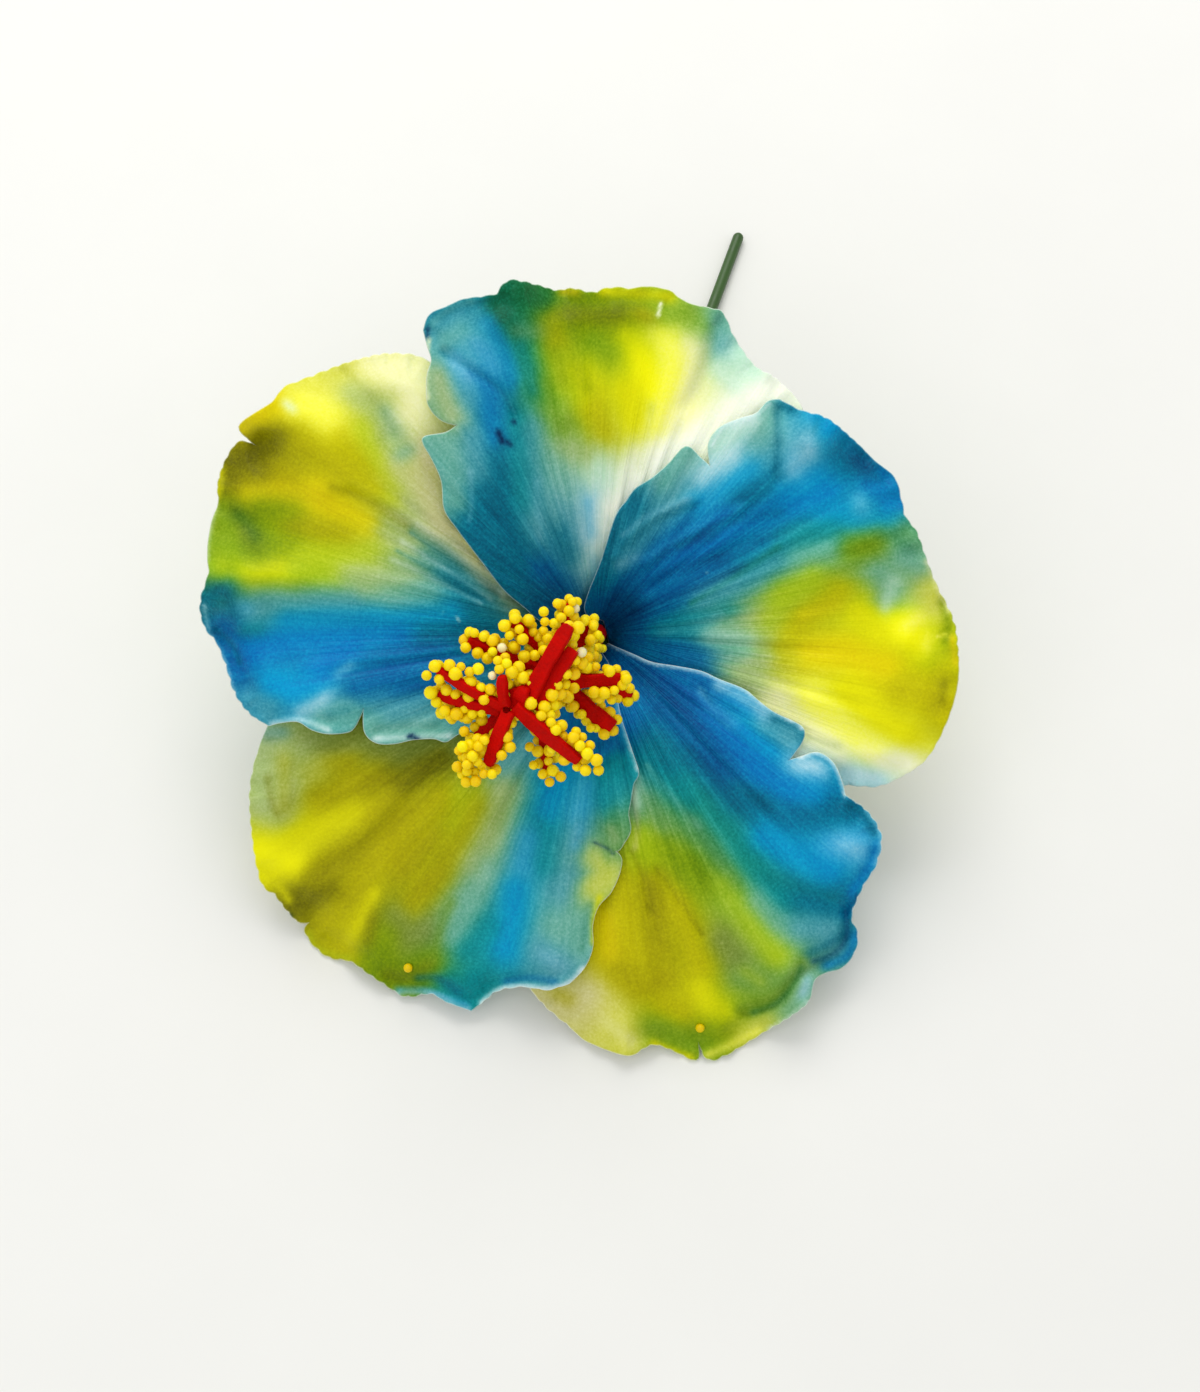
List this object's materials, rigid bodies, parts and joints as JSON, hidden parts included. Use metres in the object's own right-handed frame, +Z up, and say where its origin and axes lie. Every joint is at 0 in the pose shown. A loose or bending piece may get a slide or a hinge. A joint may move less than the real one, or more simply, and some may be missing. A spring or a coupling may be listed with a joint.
{
  "type": "artificial hibiscus flower",
  "caption": "Open foam hibiscus flower with waved overlapping petals, a beaded stamen column and a short stem, lying face up.",
  "frame": {"origin": "on the surface that the flower lies on, under the middle of its bounding box", "axes": "+Z up from the surface; +Y from the lower petals towards the stem's tip; +X to the right of the flower's face"},
  "size_m": [0.1168, 0.1545, 0.0537],
  "materials": {
    "petal_top_foam": "airbrushed satin foam, blue to yellow to white",
    "petal_left_foam": "airbrushed satin foam, cream and yellow to blue",
    "petal_lower_left_foam": "airbrushed satin foam, olive and yellow to blue",
    "petal_lower_right_foam": "airbrushed satin foam, mustard to bright blue",
    "petal_right_foam": "airbrushed satin foam, blue to yellow and cream",
    "red_foam": "plain cut foam, slightly rough",
    "yellow_beads": "small smooth foam beads",
    "green_calyx": "moulded, satin",
    "green_stem": "coated wire, satin"
  },
  "bodies": {
    "root": {"petal_top": "petal_top_foam", "petal_left": "petal_left_foam", "petal_lower_left": "petal_lower_left_foam", "petal_lower_right": "petal_lower_right_foam", "petal_right": "petal_right_foam", "stamen_core": "red_foam", "stamen_beads": "yellow_beads", "calyx": "green_calyx", "stem": "green_stem"}
  },
  "joints": []
}
